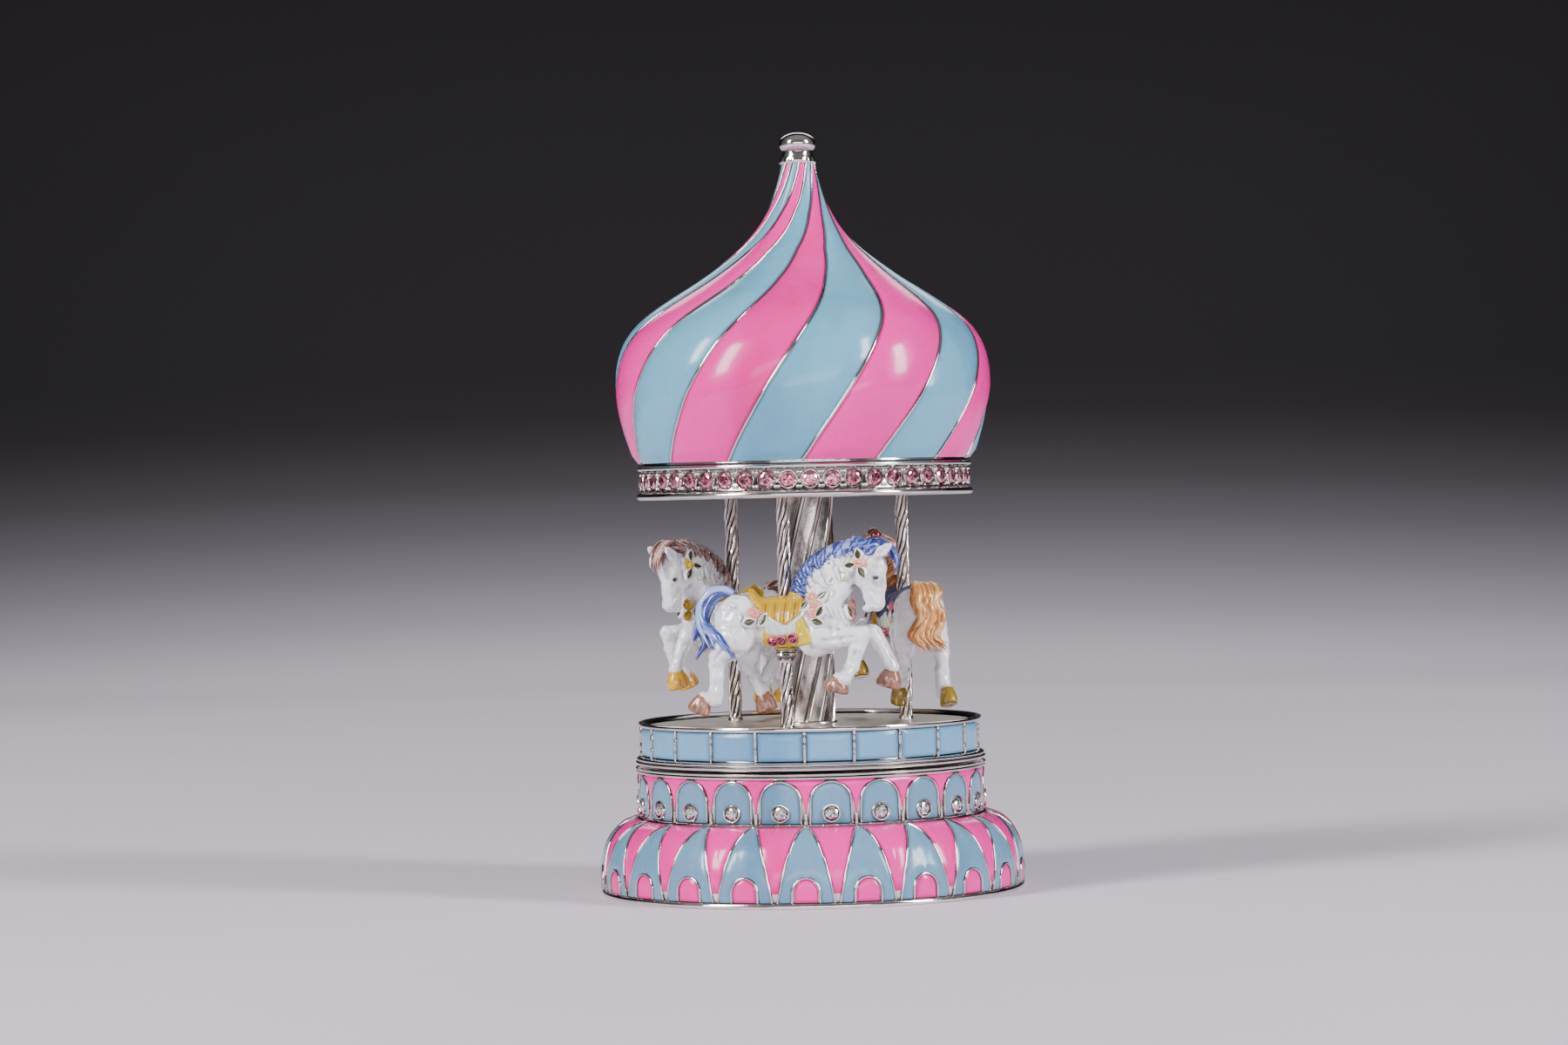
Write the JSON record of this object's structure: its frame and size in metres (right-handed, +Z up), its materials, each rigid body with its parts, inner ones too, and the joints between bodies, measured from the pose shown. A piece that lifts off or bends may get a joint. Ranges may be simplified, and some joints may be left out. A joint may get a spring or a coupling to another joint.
{
  "type": "carousel music box",
  "caption": "Wind-up carousel music box: enamelled round base, turning platform with galloping horses on twisted poles, and a striped onion-dome canopy.",
  "frame": {"origin": "on the turning axis, at the bottom face of the foot", "axes": "+Z up along the turning axis to the finial; -Y is the front, with the first horse facing +X; +X to the right seen from the front"},
  "size_m": [0.088, 0.088, 0.1574],
  "materials": {
    "silver": "polished nickel-silver plate, slightly warm",
    "steel": "plain machined steel",
    "brass": "bright brass",
    "enamel_pink": "translucent glossy enamel",
    "enamel_blue": "translucent glossy enamel",
    "enamel_panel": "translucent glossy enamel",
    "crystal_clear": "cut clear stone with a foiled back",
    "crystal_rose": "cut pale rose stone with a foiled back",
    "pearl_enamel": "glossy pearl-white enamel",
    "hair_blue": "glossy blue enamel with pale strands",
    "hair_orange": "glossy golden-orange enamel with pale strands",
    "hair_brown": "glossy mauve-brown enamel with pale strands",
    "tack_yellow": "glossy yellow enamel",
    "tack_blue": "glossy blue enamel",
    "hoof_copper": "glossy copper-pink enamel",
    "hoof_gold": "glossy olive-gold enamel"
  },
  "bodies": {
    "base": {"skirt_shell": "silver", "skirt_petals": "enamel_blue", "skirt_wedges": "enamel_pink", "skirt_arches": "enamel_pink", "drum_shell": "silver", "drum_arches": "enamel_blue", "drum_spandrels": "enamel_pink", "drum_bezels": "silver", "drum_stones": "crystal_clear", "top_plate": "steel", "spindle_bush": "brass", "bottom_plate": "steel", "bottom_screws": "steel", "bedplate": "steel", "movement_screws": "steel", "comb": "steel", "shaft_brackets": "steel", "governor_frame": "brass"},
    "carousel": {"platform": "silver", "platform_panels": "enamel_panel", "spring_barrel": "brass", "barrel_cover": "brass", "mainspring": "steel", "spindle": "steel", "hub_nut": "steel", "center_column": "silver", "tie_rod": "steel", "pole_a": "silver", "pole_b": "silver", "pole_c": "silver", "pole_fittings": "silver", "horse_a": "pearl_enamel", "horse_a_hair": "hair_blue", "horse_a_tack": "tack_yellow", "horse_a_hooves": "hoof_copper", "horse_b": "pearl_enamel", "horse_b_hair": "hair_orange", "horse_b_tack": "tack_blue", "horse_b_hooves": "hoof_gold", "horse_c": "pearl_enamel", "horse_c_hair": "hair_brown", "horse_c_tack": "tack_yellow", "horse_c_hooves": "hoof_gold", "canopy_shell": "silver", "canopy_ceiling": "silver", "canopy_gores_pink": "enamel_pink", "canopy_gores_blue": "enamel_blue", "canopy_wires": "silver", "canopy_stones": "crystal_rose", "stone_prongs": "silver", "finial": "silver"},
    "cylinder": {"pin_cylinder": "brass", "cylinder_shaft": "steel"},
    "governor": {"governor_wheel": "brass"},
    "fan": {"worm": "steel", "air_fan": "brass"},
    "key": {"winding_key": "brass", "winding_arbor": "steel"}
  },
  "joints": [
    {"name": "carousel_spin", "type": "hinge", "parent": "base", "child": "carousel", "pos_m": [0, 0, 0.026], "axis": [0, 0, 1], "continuous": true},
    {"name": "cylinder_spin", "type": "hinge", "parent": "base", "child": "cylinder", "pos_m": [0.0187, 0, 0.0178], "axis": [1, 0, 0], "continuous": true},
    {"name": "governor_spin", "type": "hinge", "parent": "base", "child": "governor", "pos_m": [0.0259, -0.0068, 0.0178], "axis": [1, 0, 0], "continuous": true},
    {"name": "fan_spin", "type": "hinge", "parent": "base", "child": "fan", "pos_m": [0.0269, -0.01185, 0.0178], "axis": [0, 0, 1], "continuous": true},
    {"name": "key_wind", "type": "hinge", "parent": "base", "child": "key", "pos_m": [0, 0, 0.0065], "axis": [0, 0, 1], "range_deg": [0, 1890]}
  ],
  "couplings": [
    {"joint": "cylinder_spin", "follows": "carousel_spin", "ratio": 3},
    {"joint": "governor_spin", "follows": "carousel_spin", "ratio": -9},
    {"joint": "fan_spin", "follows": "carousel_spin", "ratio": -144}
  ]
}
